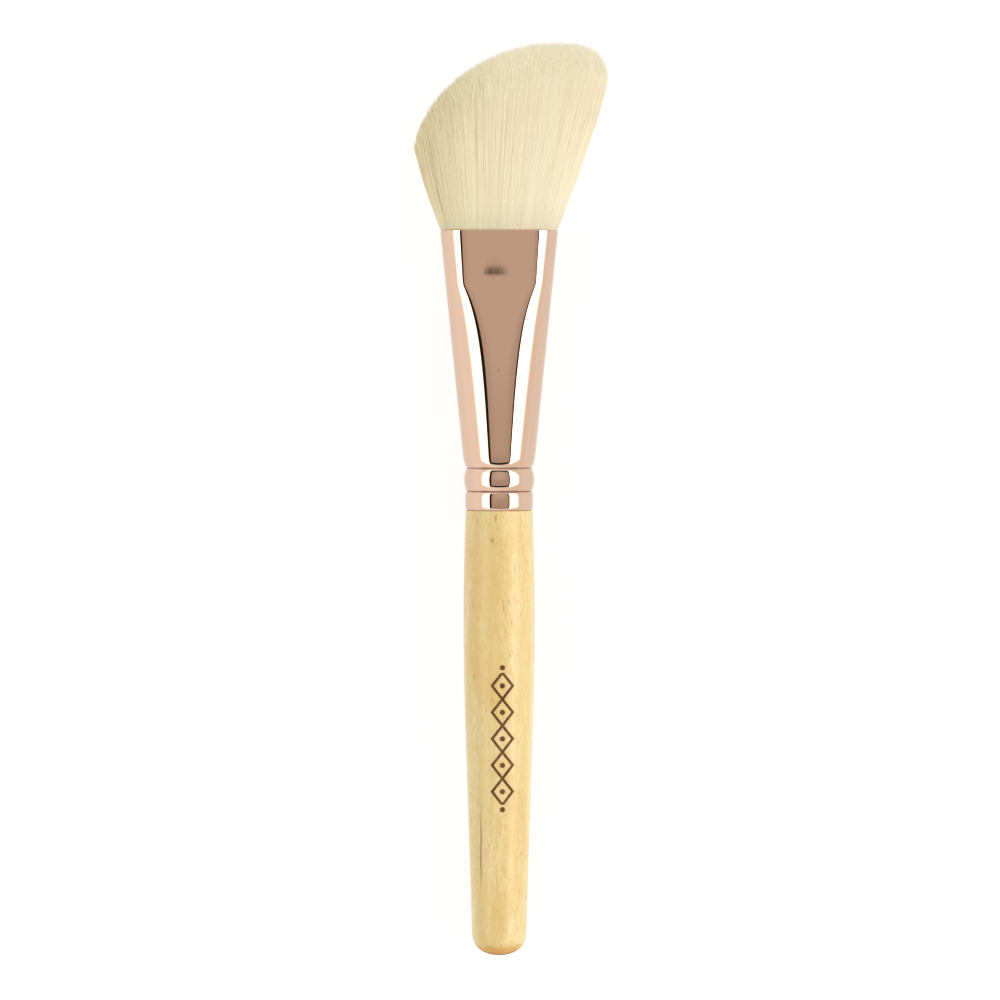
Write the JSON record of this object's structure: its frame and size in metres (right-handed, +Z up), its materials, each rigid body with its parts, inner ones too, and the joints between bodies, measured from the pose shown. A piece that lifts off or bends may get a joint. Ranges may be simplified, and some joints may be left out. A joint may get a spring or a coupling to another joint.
{
  "type": "blush brush",
  "caption": "Angled blush brush with a turned wooden handle, a crimped and pinched metal ferrule, and a fanned tuft cut on a slant.",
  "frame": {"origin": "on the surface that the brush lies on, under the middle of its bounding box", "axes": "+Y along the handle's axis towards the tip of the tuft, +Z up out of the broad face, +X towards the long side of the tuft"},
  "size_m": [0.0362, 0.1698, 0.0136],
  "materials": {
    "handle_wood": "fine sanded pale beech with a thin satin seal",
    "ferrule_metal": "polished rose gold plate",
    "filament": "soft cream synthetic filament",
    "tie_thread": "waxed thread",
    "set_glue": "set amber resin glue"
  },
  "bodies": {
    "root": {"handle": "handle_wood", "ferrule": "ferrule_metal", "tuft": "filament", "root_tie": "tie_thread", "glue_plug": "set_glue"}
  },
  "joints": []
}
